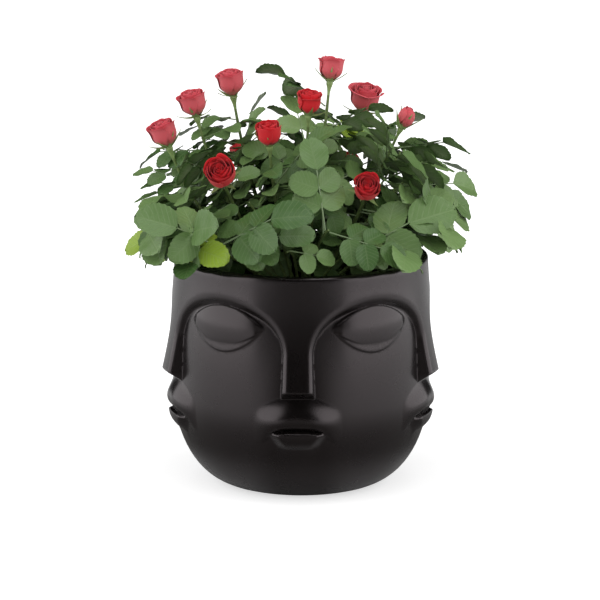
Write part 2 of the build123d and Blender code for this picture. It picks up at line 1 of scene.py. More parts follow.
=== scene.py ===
import math
import random

import bmesh
import bpy
import numpy as np
from mathutils import Matrix, Vector, kdtree, noise


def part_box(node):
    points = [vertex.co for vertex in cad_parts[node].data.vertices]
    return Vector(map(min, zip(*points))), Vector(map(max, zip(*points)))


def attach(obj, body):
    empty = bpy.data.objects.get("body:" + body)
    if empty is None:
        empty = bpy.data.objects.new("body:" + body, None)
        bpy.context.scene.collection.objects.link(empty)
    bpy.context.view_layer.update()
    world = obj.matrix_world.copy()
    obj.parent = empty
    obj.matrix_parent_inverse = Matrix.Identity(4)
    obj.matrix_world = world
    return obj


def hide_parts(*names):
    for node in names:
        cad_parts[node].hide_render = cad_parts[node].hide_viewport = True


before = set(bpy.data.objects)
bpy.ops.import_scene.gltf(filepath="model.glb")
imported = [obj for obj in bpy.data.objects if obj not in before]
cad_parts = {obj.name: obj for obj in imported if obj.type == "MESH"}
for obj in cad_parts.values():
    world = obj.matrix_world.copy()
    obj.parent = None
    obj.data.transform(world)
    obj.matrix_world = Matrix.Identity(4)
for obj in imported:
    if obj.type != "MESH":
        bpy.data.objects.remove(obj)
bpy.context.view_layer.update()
scene = bpy.context.scene
mm = 0.001


# Camera
# It looks at the front face from a little above the rim and a touch from the right, and stands
# far enough off that the sides of the pot stay nearly parallel.
camera_distance = 2.2
camera_rise = math.radians(12)
camera_turn = math.radians(1.5)
camera_aim = Vector((-0.0009, 0, 0.1347))
frame_width = 0.444
sensor_width = 36

camera = bpy.data.objects.new("camera", bpy.data.cameras.new("camera"))
scene.collection.objects.link(camera)
scene.camera = camera
camera.data.sensor_width = sensor_width
camera.data.lens = sensor_width * camera_distance / frame_width
camera.data.clip_end = 50
camera_way = Vector((math.sin(camera_turn) * math.cos(camera_rise),
                     -math.cos(camera_turn) * math.cos(camera_rise), math.sin(camera_rise)))
camera.location = camera_aim + camera_way * camera_distance
camera.rotation_euler = camera_way.to_track_quat("Z", "Y").to_euler()


# Studio
# A pale floor that runs out to white, a wide soft box at each side, one overhead and one in front
# that glossy things don't mirror. A dark wedge and ring on the floor, seen only in glossy reflections,
# are painted dark reflections: they paint reflected shade into the middle and the foot of the pot.
floor_size = 24
floor_tone = 0.60
glow_reach = (0.15, 0.9)
glow_tones = (0.62, 1.0)
card_reach = 1.6
card_height = 0.5 * mm
wedge_core = math.radians(12)
wedge_edge = math.radians(36)
wedge_near = (0.22, 0.50)
wedge_near_tone = 0.45
wedge_far = 1.2
ring_tone = 0.72
ring_foot_tone = 0.15
ring_inside = (0.065, 0.125)
ring_outside = (0.14, 0.42)
side_box = (2.2, 1.7)
side_box_place = Vector((1.27, -0.22, 0.86))
side_box_tone = 1.4
top_box = (1.3, 1.3)
top_box_place = Vector((0, -0.25, 1.75))
top_box_tone = 1.5
front_box = (1.8, 1.4)
front_box_place = Vector((0, -1.9, 1.15))
front_box_tone = 1.15
room_tone = 0.45


def feed(tree, node, inputs):
    """Gives each input a value, or the socket that drives it."""
    for name, value in inputs.items():
        socket = node.inputs[name]
        if isinstance(value, bpy.types.NodeSocket):
            tree.links.new(value, socket)
        else:
            socket.default_value = (*value, 1) if socket.type == "RGBA" else value


def add_node(tree, kind, inputs=None, **settings):
    node = tree.nodes.new("ShaderNode" + kind)
    node.location.x = 180 * len(tree.nodes)
    for name, value in settings.items():
        setattr(node, name, value)
    feed(tree, node, inputs or {})
    return node


def fade(tree, source, low, high, first, last):
    """A smooth change from one number to another while the source goes from low to high."""
    ends = {"Value": source, "From Min": low, "From Max": high, "To Min": first, "To Max": last}
    return add_node(tree, "MapRange", ends, interpolation_type="SMOOTHSTEP").outputs["Result"]


def combine(tree, operation, *sources):
    return add_node(tree, "Math", dict(enumerate(sources)), operation=operation).outputs[0]


def new_material(name):
    """A material, its node tree and its shader."""
    material = bpy.data.materials.new(name)
    material.use_nodes = True
    return material, material.node_tree, material.node_tree.nodes["Principled BSDF"]


def place_on_stage(tree):
    """Where a point of the stage lies, and how far it is from the middle."""
    spot = add_node(tree, "TexCoord").outputs["Object"]
    return spot, add_node(tree, "VectorMath", {0: spot}, operation="LENGTH").outputs["Value"]


def show(tree, output, share, first, second):
    """Shows one shader or the other, or a share of both."""
    mix = add_node(tree, "MixShader", {0: share, 1: first, 2: second})
    feed(tree, tree.nodes[output], {"Surface": mix.outputs[0]})


def grid_piece(columns, rows, size=1):
    """A flat grid, the only piece selected."""
    bpy.ops.object.select_all(action="DESELECT")
    bpy.ops.mesh.primitive_grid_add(x_subdivisions=columns, y_subdivisions=rows, size=size)
    return bpy.context.object


def soft_box(name, place, target, size, tone):
    lamp = bpy.data.lights.new(name, "AREA")
    lamp.shape = "RECTANGLE"
    lamp.size, lamp.size_y = size
    lamp.energy = tone * math.pi * size[0] * size[1]
    box = bpy.data.objects.new(name, lamp)
    scene.collection.objects.link(box)
    box.location = place
    box.rotation_euler = (place - target).to_track_quat("Z", "Y").to_euler()
    box.visible_camera = False
    return box


for side, name in ((-1, "side_box_left"), (1, "side_box_right")):
    place = Vector((side * side_box_place.x, side_box_place.y, side_box_place.z))
    soft_box(name, place, Vector((0, 0, side_box_place.z)), side_box, side_box_tone)
soft_box("top_box", top_box_place, Vector((0, 0, 0.2)), top_box, top_box_tone)
front = soft_box("front_box", front_box_place, Vector((0, 0, 0.25)), front_box, front_box_tone)
front.visible_glossy = False

world = bpy.data.worlds.new("room")
scene.world = world
world.use_nodes = True
world.cycles_visibility.glossy = False
sky = world.node_tree
feed(sky, sky.nodes["Background"], {"Color": (1, 1, 1)})
room = add_node(sky, "Background", {"Color": [room_tone] * 3})
seen = add_node(sky, "LightPath").outputs["Is Camera Ray"]
show(sky, "World Output", seen, room.outputs[0], sky.nodes["Background"].outputs[0])

floor = grid_piece(8, 8, floor_size)
floor.name = "floor"
paper, tree, shader = new_material("white_paper")
feed(tree, shader, {"Base Color": [floor_tone] * 3, "Roughness": 0.9, "Specular IOR Level": 0})
away = place_on_stage(tree)[1]
glow = add_node(tree, "Emission", {"Strength": fade(tree, away, *glow_reach, *glow_tones)})
both = add_node(tree, "AddShader", {0: glow.outputs[0], 1: shader.outputs[0]})
seen = add_node(tree, "LightPath").outputs["Is Camera Ray"]
show(tree, "Material Output", seen, shader.outputs[0], both.outputs[0])
floor.data.materials.append(paper)

# A sheet seen only by glossy rays. Its dark warm colour, its wedge and its ring paint dark reflections of
# shaded floor into the glaze.
card = grid_piece(4, 4, 2 * card_reach)
card.location.z = card_height
bpy.ops.object.transform_apply(location=True)
card.name = "dark_reflection_card"
card.visible_camera = card.visible_diffuse = card.visible_shadow = False
dark_reflection, tree, shader = new_material("painted_dark_reflection")
feed(tree, shader, {"Base Color": (0.020, 0.013, 0.008), "Roughness": 1, "Specular IOR Level": 0})
spot, away = place_on_stage(tree)
parts = add_node(tree, "SeparateXYZ", {0: spot})
forward = combine(tree, "MULTIPLY", parts.outputs["Y"], -1)
turn = combine(tree, "ABSOLUTE", combine(tree, "ARCTAN2", parts.outputs["X"], forward))
wedge = combine(tree, "MULTIPLY", fade(tree, turn, wedge_core, wedge_edge, 1, 0),
                fade(tree, away, wedge_far, card_reach, 1, 0))
wedge = combine(tree, "MULTIPLY", wedge, fade(tree, away, *wedge_near, wedge_near_tone, 1))
ring = combine(tree, "MULTIPLY", fade(tree, away, *ring_outside, ring_tone, 0),
               fade(tree, away, *ring_inside, ring_foot_tone, 1))
clear = combine(tree, "MULTIPLY", combine(tree, "SUBTRACT", 1, wedge), combine(tree, "SUBTRACT", 1, ring))
open_air = add_node(tree, "BsdfTransparent").outputs[0]
show(tree, "Material Output", combine(tree, "SUBTRACT", 1, clear), open_air, shader.outputs[0])
card.data.materials.append(dark_reflection)

scene.view_settings.view_transform = "Standard"


# Ceramic pot
# One slip-cast stoneware body, glazed a satin black. Five alike faces stand round it, each a long
# nose that runs up into two brow arches, with one closed eye shared by each two neighbours.
face_count = 5
pot_height = 170.0
belly_radius = 95.0
belly_height = 70.0
foot_radius = 50.0
wall_curve = 1072.0
rim_round = 2.4
nose_half_width = 12.0
bevel_width = 4.6
bevel_drop = 3.0
wall_run = 1.85
brow_run = 2.3
side_slope = 4.2
brow_slope = 1.0
arch_spring = 113.0
arch_rise = 33.2
nose_end = 88.8
nose_foot = 82.6
eye_half_length = 34.5
eye_corner = 131.0
lid_top = 145.5
lid_base = 117.6
lid_crown = 128.0
lid_turn = 79.5
lid_shift = 15.0
lash_width = 5.2
lash_step = 0.9
mouth_height = 59.4
lip_reach = 32.0
upper_lip_swell = 6.4
lower_lip_swell = 5.2
lower_lip_base = 45.5
lower_lip_half = 24.0
chin_half = 15.5
chin_ridge = 0.9
pot_triangles = 190000
sector = 2 * math.pi / face_count


def vertex_places(piece):
    """The places of a mesh's vertices, one row for each."""
    spots = np.empty(len(piece.data.vertices) * 3)
    piece.data.vertices.foreach_get("co", spots)
    return spots.reshape(-1, 3)


def place_vertices(piece, spots):
    piece.data.vertices.foreach_set("co", spots.ravel())
    piece.data.update()


def select_only(piece):
    bpy.ops.object.select_all(action="DESELECT")
    piece.select_set(True)
    bpy.context.view_layer.objects.active = piece


def dress(piece, material):
    piece.data.materials.clear()
    piece.data.materials.append(material)


def smooth_below(degrees):
    """Shades what is selected smooth, but for edges sharper than this."""
    bpy.ops.object.shade_smooth_by_angle(angle=math.radians(degrees))


def sheet(columns, rows):
    """A flat grid, and how far along and up it each vertex lies, from 0 to 1."""
    piece = grid_piece(columns, rows)
    share = vertex_places(piece) + 0.5
    return piece, share[:, 0], share[:, 1]


def apply_modifier(piece, kind, **settings):
    bpy.context.view_layer.objects.active = piece
    step = piece.modifiers.new(kind, kind)
    for name, value in settings.items():
        setattr(step, name, value)
    bpy.ops.object.modifier_apply(modifier=step.name)


def round_axis(turn, radius, height):
    """Places round the pot's axis, for turns from the front, in metres."""
    return np.column_stack([radius * np.sin(turn), -radius * np.cos(turn), height]) * mm


def smooth_max(first, second, width):
    """The outer one of two surfaces, with a hollow fillet where they meet."""
    share = np.clip(0.5 + 0.5 * (first - second) / width, 0, 1)
    return first * share + second * (1 - share) + width * share * (1 - share)


def ramp(distance, width):
    """Rises from 0 to 1 over a width, level at both ends."""
    share = np.clip(distance / width, 0, 1)
    return share * share * (3 - 2 * share)


def round_over(distance, width):
    """Rises from 0 to 1 over a width like a rounded edge, steep first and level last."""
    share = np.clip(distance / width, 0, 1)
    return np.sqrt(1 - (1 - share) ** 2)


def bowl_radius(height):
    low = foot_radius + (belly_radius - foot_radius) * np.sqrt(
        1 - np.clip((belly_height - height) / belly_height, 0, 1) ** 2)
    high = belly_radius - (height - belly_height) ** 2 / wall_curve
    return np.where(height < belly_height, low, high)


def ridge_radius(height):
    """The nose's front, up over its bridge to the rim."""
    return 93.5 - 0.1 * (height - 170) + 0.00126 * (height - 170) * (height - 120)


def nose_and_brow(across, height):
    """The raised band between two sockets: rounded over at its edge, then steep down to the wall."""
    half_arch = belly_radius * sector / 2 - nose_half_width
    along = (half_arch + nose_half_width - across) / half_arch
    up = (height - arch_spring) / arch_rise
    oval = np.sqrt(along ** 2 + up ** 2)
    slope = np.sqrt((along / half_arch) ** 2 + (up / arch_rise) ** 2) / np.maximum(oval, 1e-6)
    inside = np.where(height > arch_spring, (oval - 1) / slope, nose_half_width - across)
    brow_share = ramp(height - arch_spring, arch_rise)
    width = bevel_width + 1.0 * brow_share
    last = 0.97 - 0.15 * brow_share
    run = wall_run + brow_run * brow_share
    turned = np.clip((run - inside) / width + last, 0, last)
    drop = bevel_drop * (1 - np.sqrt(1 - turned ** 2))
    slope = side_slope + (brow_slope - side_slope) * brow_share
    front = ridge_radius(np.maximum(height, nose_end)) - drop - np.maximum(run - inside, 0) * slope
    under = ridge_radius(nose_end) - (nose_end - height) * (10.0 / (nose_end - nose_foot))
    return -smooth_max(-front, -under - 0.2, 1.2)


def closed_lid(across, height, wall):
    """The bulge of a closed eye, with the lash band stepped down below it."""
    from_eye = belly_radius * sector / 2 - across
    share = np.clip(np.abs(from_eye) / eye_half_length, 0, 1)
    upper = eye_corner + (lid_top - eye_corner) * (1 - share ** 2)
    lower = eye_corner - (eye_corner - lid_base) * (1 - share ** 2)
    rise = np.where(height > lid_crown, (height - lid_crown) / (lid_top + 3.5 - lid_crown) * 2.1,
                    (height - lid_crown) / (lid_crown - lid_base + 3.5) * 1.48)
    turn = lid_turn - np.clip(rise, -2.5, 2.5) ** 2
    side = np.clip(from_eye, -eye_half_length, eye_half_length)
    skin = np.hypot(lid_shift + np.sqrt(turn ** 2 - side ** 2), side)
    on_lid = ramp(np.minimum(height - lower, upper - height + 1.6), 1.1) * ramp(1 - share, 0.22)
    on_lash = ramp(np.minimum(height - lower + lash_width * (1 - share ** 2), upper - height + 1.6), 1.4)
    on_lash = on_lash * ramp(1 - share, 0.30)
    lid = wall + (skin - wall) * on_lid
    lash = wall + lash_step * on_lash
    return np.maximum(lid, lash)


def lips(across, height):
    """How far the mouth swells from the wall: a bowed upper lip over a flat-fronted lower one."""
    share = np.clip(across / lip_reach, 0, 1)
    line = mouth_height - 1.6 * ramp(across - 6, 14)
    crest = 63.0 + 5.5 * np.exp(-(across / 17.0) ** 2)
    top = 86.0 - 12.0 * share ** 2.0
    swell = upper_lip_swell * (1 - share ** 2) - 0.5 * np.exp(-(across / 5.0) ** 2)
    above = 0.5 + 0.5 * np.cos(math.pi * np.clip((height - crest) / (top - crest), 0, 1))
    lip_foot = line - 9.0 * ramp(across - 15, 14)
    below = round_over(height - lip_foot, crest - lip_foot) * (1 - 0.4 * ramp(across - 12, 14))
    below = below + 0.4 * ramp(across - 12, 14) * ramp(height - lip_foot, crest - lip_foot)
    upper = swell * np.where(height > crest, above, below) * ramp(height - lip_foot + 0.8, 1.6)
    run = lower_lip_half - chin_half
    fall = mouth_height - lower_lip_base
    side = ((chin_half - across) * fall + (height - lower_lip_base) * run) / math.hypot(run, fall)
    lower = lower_lip_swell * ramp(line - height + 0.4, 2.8) * round_over(height - lower_lip_base, 9.0)
    lower = lower * ramp(side + 1.0, 9.0)
    ridge = chin_ridge * np.exp(-((height - lower_lip_base + 0.6) / 1.5) ** 2)
    return np.maximum(upper, lower) + ridge * ramp(chin_half + 2 - across, 6)


def pot_radius(turn, height):
    """The pot's outer radius at angles from the middle of a nose and heights, in millimetres."""
    across = belly_radius * np.abs(turn)
    wall = bowl_radius(height)
    skin = closed_lid(across, height, wall) + lips(across, height)
    band = np.where(height < nose_foot - 3, 0, nose_and_brow(across, height))
    return smooth_max(skin, band, 0.8)


def close_up(piece):
    """Merges the vertices that meet at seams and poles, and turns the faces outwards."""
    bpy.context.view_layer.objects.active = piece
    bpy.ops.object.mode_set(mode="EDIT")
    bpy.ops.mesh.select_all(action="SELECT")
    bpy.ops.mesh.remove_doubles(threshold=0.002 * mm)
    bpy.ops.mesh.normals_make_consistent(inside=False)
    bpy.ops.object.mode_set(mode="OBJECT")


def quarter(first, last, count):
    return [first + (last - first) * index / count for index in range(1, count + 1)]


# Heights of the rows of vertices: close together over the eyes and under the nose
foot_rows = [belly_height * (1 - math.cos(a)) for a in np.linspace(0, math.acos(1 - 44 / 70), 15)]
face_rows = np.concatenate([np.arange(44.8, 76, 0.8), np.arange(76, 91, 0.5), np.arange(91, 107, 1.0),
                            np.arange(107, 149.6, 0.55), np.arange(149.6, pot_height - rim_round, 1.7)])
outer_heights = foot_rows + list(face_rows) + [pot_height - rim_round]
rim_edge = float(ridge_radius(pot_height - rim_round))
plain_profile = [(rim_edge - rim_round * (1 - math.cos(a)), pot_height - rim_round * (1 - math.sin(a)))
                 for a in quarter(0, math.pi / 2, 5)]
plain_profile += [(86.3, 170), (85.2, 169.6), (84.6, 168.6), (84.4, 167), (82, 150)]
plain_profile += [(82 + 6 * math.sin(a), 150 - 80 * (1 - math.cos(a))) for a in quarter(0, math.pi / 2, 12)]
plain_profile += [(36 + 52 * math.cos(a), 70 - 61 * math.sin(a)) for a in quarter(0, math.pi / 2, 14)]
plain_profile += [(20, 9), (8.2, 9), (7.5, 8.3), (7.5, 2.2), (8.2, 1.5), (24, 1.5), (39.4, 1.5), (40, 0.9),
                  (40.6, 0), (foot_radius, 0)]

half_columns = 72
column_shares = ([0, 0.03, 0.48, 1.0], [0, 0.033, 0.25, 1.0])
columns = half_columns * 2 * face_count
rows = len(outer_heights) + len(plain_profile) - 1

pot, along, up = sheet(columns, rows)
pot.name = "glazed_pot"
turn = (along * 2 - 1) * math.pi
nose = np.round(turn / sector)
off = turn - nose * sector
off = np.sign(off) * np.interp(np.abs(off) / (sector / 2), *column_shares) * sector / 2
row = np.rint(up * rows).astype(int)
outer = row < len(outer_heights)
height = np.concatenate([outer_heights, [point[1] for point in plain_profile]])[row]
plain = np.concatenate([np.zeros(len(outer_heights)), [point[0] for point in plain_profile]])[row]
place_vertices(pot, round_axis(nose * sector + off, np.where(outer, pot_radius(off, height), plain), height))
close_up(pot)
apply_modifier(pot, "DECIMATE", ratio=pot_triangles / (2 * len(pot.data.polygons)))
smooth_below(60)


def noise_over(tree, scale, detail):
    where = add_node(tree, "TexCoord").outputs["Object"]
    inputs = {"Vector": where, "Scale": scale, "Detail": detail}
    return add_node(tree, "TexNoise", inputs).outputs["Fac"]


def colours_along(tree, source, *stops):
    """Colours at places from 0 to 1 along a value, the two ends first."""
    ramp_node = add_node(tree, "ValToRGB", {"Fac": source})
    elements = ramp_node.color_ramp.elements
    for index, (place, colour) in enumerate(stops):
        element = elements[index] if index < 2 else elements.new(place)
        element.position, element.color = place, (*colour, 1)
    return ramp_node.outputs["Color"]


def vary(tree, source, low, high):
    inputs = {"Value": source, "To Min": low, "To Max": high}
    return add_node(tree, "MapRange", inputs).outputs["Result"]


def bumps(tree, source, strength, depth):
    inputs = {"Height": source, "Strength": strength, "Distance": depth * mm}
    return add_node(tree, "Bump", inputs).outputs["Normal"]


glaze, tree, shader = new_material("satin_black_glaze")
cloud = noise_over(tree, 28, 5)
feed(tree, shader, {
    "Base Color": colours_along(tree, cloud, (0.35, (0.0026, 0.0020, 0.0018)),
                                (0.70, (0.0042, 0.0033, 0.0030))),
    "Roughness": vary(tree, cloud, 0.25, 0.30), "IOR": 1.6, "Specular Tint": (1, 0.86, 0.90),
    "Coat Weight": 0.35, "Coat Roughness": 0.22, "Coat IOR": 1.5,
    "Normal": bumps(tree, noise_over(tree, 420, 3), 0.05, 0.2)})
dress(pot, glaze)
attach(pot, "planter")
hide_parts("ceramic_pot")


# Drain plug
# A soft silicone stopper, pressed into the pot's drain hole from inside. Water stays in the pot
# until it is drawn out by the tab moulded on its top.
plug_top = 11.4
tab_size = (10.0, 2.4, 1.6)


def turned_piece(name, profile, around):
    """A closed skin turned round the pot's axis, from (radius, height) points in millimetres."""
    piece, along, up = sheet(around, len(profile) - 1)
    piece.name = name
    radius, height = np.array(profile)[np.rint(up * (len(profile) - 1)).astype(int)].T
    place_vertices(piece, round_axis(along * 2 * math.pi, radius, height))
    close_up(piece)
    return piece


def join_pieces(pieces, name):
    """Makes several finished meshes one."""
    select_only(pieces[0])
    for piece in pieces:
        piece.select_set(True)
    bpy.ops.object.join()
    pieces[0].name = name
    return pieces[0]


stem_profile = [(0, 4.5), (5.8, 4.5), (6.5, 5.0), (7.1, 8.6), (7.3, 9.0), (11.4, 9.0), (12.0, 9.6),
                (12.0, 10.6), (11.3, 11.3), (10.4, 11.4), (7.0, 11.1), (0, 11.1)]
stopper = turned_piece("drain_stopper", stem_profile, 48)
bpy.ops.object.select_all(action="DESELECT")
bpy.ops.mesh.primitive_cube_add(size=1, location=(0, 0, (plug_top + tab_size[2] / 2 - 0.3) * mm))
tab = bpy.context.object
tab.scale = (tab_size[0] * mm, tab_size[1] * mm, (tab_size[2] + 0.6) * mm)
bpy.ops.object.transform_apply(location=True, rotation=True, scale=True)
apply_modifier(tab, "BEVEL", width=0.6 * mm, segments=3)
stopper = join_pieces([stopper, tab], "drain_stopper")
smooth_below(40)


def plain_material(name, colour, roughness, grain_size, grain_tone, bump_height):
    """A finish of one colour with a fine grain that darkens and roughens it a little."""
    material, tree, shader = new_material(name)
    grain = noise_over(tree, 1 / (grain_size * mm), 4)
    dark, light = ([part * (1 + change) for part in colour] for change in (-grain_tone, grain_tone))
    feed(tree, shader, {"Base Color": colours_along(tree, grain, (0.3, dark), (0.7, light)),
                        "Roughness": vary(tree, grain, roughness - 0.08, roughness + 0.08),
                        "Normal": bumps(tree, grain, 0.4, bump_height)})
    return material


silicone = plain_material("grey_silicone", (0.30, 0.31, 0.32), 0.55, 0.8, 0.10, 0.05)
dress(stopper, silicone)
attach(stopper, "plug")
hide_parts("drain_plug")


# Nursery liner
# A thin black plastic grower's pot that lifts out for watering. It is blown in one shell with a
# turned-out rim, two stacking steps and a ring of drain holes.
liner_foot, liner_top = (corner.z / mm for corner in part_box("grow_pot"))
liner_base_radius = 64.0
liner_top_radius = 77.0
liner_wall = 1.2
liner_rim_depth = 4.0
liner_hole_radius = 2.75
liner_hole_count = 12
liner_hole_ring = 48.0
step_heights = (0.62, 0.80)
step_width = 0.5


def liner_radius(height):
    share = (height - liner_foot) / (liner_top - liner_foot)
    return liner_base_radius + (liner_top_radius - liner_base_radius) * share


def liner_side(offset, heights):
    """Points up the liner's side, with its stacking steps, at an offset inwards."""
    points = []
    for height in heights:
        share = (height - liner_foot) / (liner_top - liner_foot)
        steps = sum(1 for step in step_heights if share < step)
        points.append((liner_radius(height) - offset - steps * step_width / 2, height))
    return points


step_rows = [liner_foot + (liner_top - liner_foot) * share
             for step in step_heights for share in (step - 0.006, step + 0.006)]
rim_low = liner_top - liner_rim_depth
rows = [liner_foot + 4.5, liner_foot + 40, *step_rows, rim_low]
skin = [(0, liner_foot + 1.0), (30, liner_foot + 1.0), (34, liner_foot), (61.5, liner_foot),
        (63.2, liner_foot + 0.9)]
skin += liner_side(0, rows)
skin += [(77.9, rim_low), (78.8, rim_low + 0.6), (79.0, rim_low + 1.6), (79.0, liner_top - 1.0),
         (78.6, liner_top - 0.2), (77.8, liner_top), (76.4, liner_top), (75.8, liner_top - 0.6)]
skin += reversed(liner_side(liner_wall, rows[1:]))
skin += [(62.6, liner_foot + 4.5), (61.6, liner_foot + 1.6), (60.5, liner_foot + 1.2), (34, liner_foot + 1.2),
         (30, liner_foot + 2.2), (0, liner_foot + 2.2)]
liner = turned_piece("nursery_liner", skin, 120)
holes = []
for index in range(liner_hole_count):
    turn = 2 * math.pi * index / liner_hole_count
    bpy.ops.mesh.primitive_cylinder_add(vertices=20, radius=liner_hole_radius * mm, depth=8 * mm,
                                        location=(liner_hole_ring * math.cos(turn) * mm,
                                                  liner_hole_ring * math.sin(turn) * mm, liner_foot * mm))
    holes.append(bpy.context.object)
punch = join_pieces(holes, "punch")
apply_modifier(liner, "BOOLEAN", operation="DIFFERENCE", object=punch)
bpy.data.objects.remove(punch)
select_only(liner)
smooth_below(35)
dress(liner, plain_material("black_nursery_plastic", (0.012, 0.012, 0.013), 0.42, 1.6, 0.25, 0.08))
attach(liner, "liner")
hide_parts("grow_pot")


# Potting soil
# Damp peat compost that fills the liner to a finger below its rim, crowned in the middle, with
# loose crumbs, bark chips and a little white perlite on top.
soil_low, soil_high = (corner.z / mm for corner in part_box("potting_soil"))
soil_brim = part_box("potting_soil")[1].x / mm
soil_crown = 3.0
crumb_count = 420
crumb_spans = ((0.7, 1.8), (0.6, 1.2), (0.4, 0.8))
perlite_share = 0.07
soil_draw = random.Random(5)


def soil_surface(out):
    return soil_high - soil_crown * (out / soil_brim) ** 1.3


soil_foot = liner_radius(soil_low) - 1.5
soil_profile = [(0, soil_low), (soil_foot, soil_low), (soil_brim - 0.6, soil_high - soil_crown - 1)]
soil_rings = 36
for ring in range(soil_rings, -1, -1):
    out = (soil_brim - 1.2) * ring / soil_rings
    soil_profile.append((out, soil_surface(out)))
soil = turned_piece("soil_bed", soil_profile, 120)
spot = vertex_places(soil)
for index, place in enumerate(spot):
    out = math.hypot(place[0], place[1]) / mm
    if place[2] > (soil_high - soil_crown - 0.5) * mm and out > 0.5:
        lump = noise.noise(Vector(place) * 160) * 0.9 + noise.noise(Vector(place) * 420) * 0.5
        spot[index, 2] += (min(lump, 0.1) - 0.4) * mm
place_vertices(soil, spot)

bpy.ops.mesh.primitive_ico_sphere_add(subdivisions=1, radius=1)
crumb = bpy.context.object
crumb_spots = vertex_places(crumb)
crumb_faces = [tuple(face.vertices) for face in crumb.data.polygons]
bpy.data.objects.remove(crumb)


def store(mesh, name, values):
    """Keeps a number for each vertex, for a material to read."""
    mesh.attributes.new(name, "FLOAT", "POINT").data.foreach_set("value", values.astype(np.float32))


def stored(tree, name):
    return add_node(tree, "Attribute", attribute_name=name).outputs["Fac"]


def mesh_piece(name, spots, faces, values, uv=None):
    """One mesh object from arrays, with what is stored for its vertices."""
    mesh = bpy.data.meshes.new(name)
    mesh.from_pydata(np.concatenate(spots).tolist(), [], faces)
    for key, numbers in values.items():
        store(mesh, key, np.concatenate(numbers))
    if uv is not None:
        corners = np.empty(len(mesh.loops), dtype=np.int32)
        mesh.loops.foreach_get("vertex_index", corners)
        flat = np.concatenate(uv)[corners].ravel().astype(np.float32)
        mesh.uv_layers.new(name="leaf").data.foreach_set("uv", flat)
    piece = bpy.data.objects.new(name, mesh)
    scene.collection.objects.link(piece)
    select_only(piece)
    return piece


spots, faces, pale = [], [], []
for index in range(crumb_count):
    out = (soil_brim - 4) * math.sqrt(soil_draw.random())
    turn = soil_draw.uniform(0, 2 * math.pi)
    size = soil_draw.uniform(0.5, 1.5) * mm
    stretch = np.array([soil_draw.uniform(*span) for span in crumb_spans])
    jag = np.array([soil_draw.uniform(0.75, 1.25) for _ in crumb_spots])
    spin = np.array(Matrix.Rotation(soil_draw.uniform(0, math.pi), 3, "Z"))
    height = soil_surface(out) * mm - 0.25 * mm
    middle = np.array([out * math.cos(turn) * mm, out * math.sin(turn) * mm, height - size * 0.1])
    spots.append((crumb_spots * jag[:, None] * stretch * size) @ spin.T + middle)
    faces += [tuple(corner + index * len(crumb_spots) for corner in face) for face in crumb_faces]
    pale.append(np.full(len(crumb_spots), 1.0 if soil_draw.random() < perlite_share else 0.0))
crumbs = mesh_piece("crumbs", spots, faces, {"pale": pale})
soil.data.attributes.new("pale", "FLOAT", "POINT")
soil = join_pieces([soil, crumbs], "soil_bed")
smooth_below(50)


def mix_colours(tree, share, first, second):
    return add_node(tree, "Mix", {0: share, 6: first, 7: second}, data_type="RGBA").outputs[2]


compost = plain_material("potting_compost", (0.030, 0.019, 0.012), 0.9, 1.4, 0.55, 0.6)
tree = compost.node_tree
shader = tree.nodes["Principled BSDF"]
brown = tree.nodes["Color Ramp"].outputs["Color"]
feed(tree, shader, {"Base Color": mix_colours(tree, stored(tree, "pale"), brown, (0.55, 0.53, 0.48))})
dress(soil, compost)
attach(soil, "liner")
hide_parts("potting_soil")


# Rose canes
# Green canes that spring from the crown of the bush, one to each bloom, a little swollen at their
# leaf joints, with a few thorns, and at the top the round hip and five sepals that hold the bloom.
cane_widths = (1.45, 0.45, 0.14)
hip_height = 4.4
bloom_foot_radius = 2.2
bloom_gap = 0.3
sepal_count = 5
sepal_length = 13.5
sepal_width = 3.8
thorn_spacing = 16.0
bud_number = 10
bud_sepal_growth = 1.30
cane_draw = random.Random(3)


def solids_of(node):
    """Each separate solid of a CAD node, as its corner places and its flat round caps."""
    mesh = bmesh.new()
    mesh.from_mesh(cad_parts[node].data)
    bmesh.ops.remove_doubles(mesh, verts=mesh.verts, dist=0.001 * mm)
    bmesh.ops.dissolve_limit(mesh, angle_limit=math.radians(0.4), verts=mesh.verts, edges=mesh.edges)
    mesh.verts.ensure_lookup_table()
    solids, left = [], set(mesh.verts)
    while left:
        start = left.pop()
        group, edge = {start}, [start]
        while edge:
            for line in edge.pop().link_edges:
                for corner in line.verts:
                    if corner in left:
                        left.discard(corner)
                        group.add(corner)
                        edge.append(corner)
        caps = []
        for face in {face for corner in group for face in corner.link_faces}:
            if len(face.verts) >= 7:
                corners = np.array([corner.co for corner in face.verts])
                middle = corners.mean(axis=0)
                out = np.linalg.norm(corners - middle, axis=1)
                if out.std() < 0.03 * out.mean():
                    caps.append((middle, np.array(face.normal), out.mean() / mm))
        solids.append((np.array([corner.co for corner in group]), caps))
    mesh.free()
    solids.sort(key=lambda solid: tuple(solid[0].mean(axis=0)))
    return solids


def unit(way):
    return way / np.linalg.norm(way)


def bent_line(root, tip, facing, count):
    """Points along one arc from root to tip that ends in the way the tip faces."""
    chord = tip - root
    reach = np.linalg.norm(chord)
    straight = chord / reach
    bend = facing - straight * (facing @ straight)
    if np.linalg.norm(bend) < 1e-4:
        return [root + chord * share for share in np.linspace(0, 1, count)]
    turn = math.acos(np.clip(facing @ straight, -1, 1))
    bend = unit(bend)
    radius = reach / (2 * math.sin(turn))
    angles = np.linspace(-turn, turn, count)
    return [root + straight * radius * (math.sin(a) + math.sin(turn))
            + bend * radius * (math.cos(turn) - math.cos(a)) for a in angles]


def stem_widths(line, foot, taper, knot):
    """A stem's radii up its line, a little swollen at its leaf joints."""
    return [foot - taper * share + (knot if index % 5 == 2 else 0)
            for index, share in enumerate(np.linspace(0, 1, len(line)))]


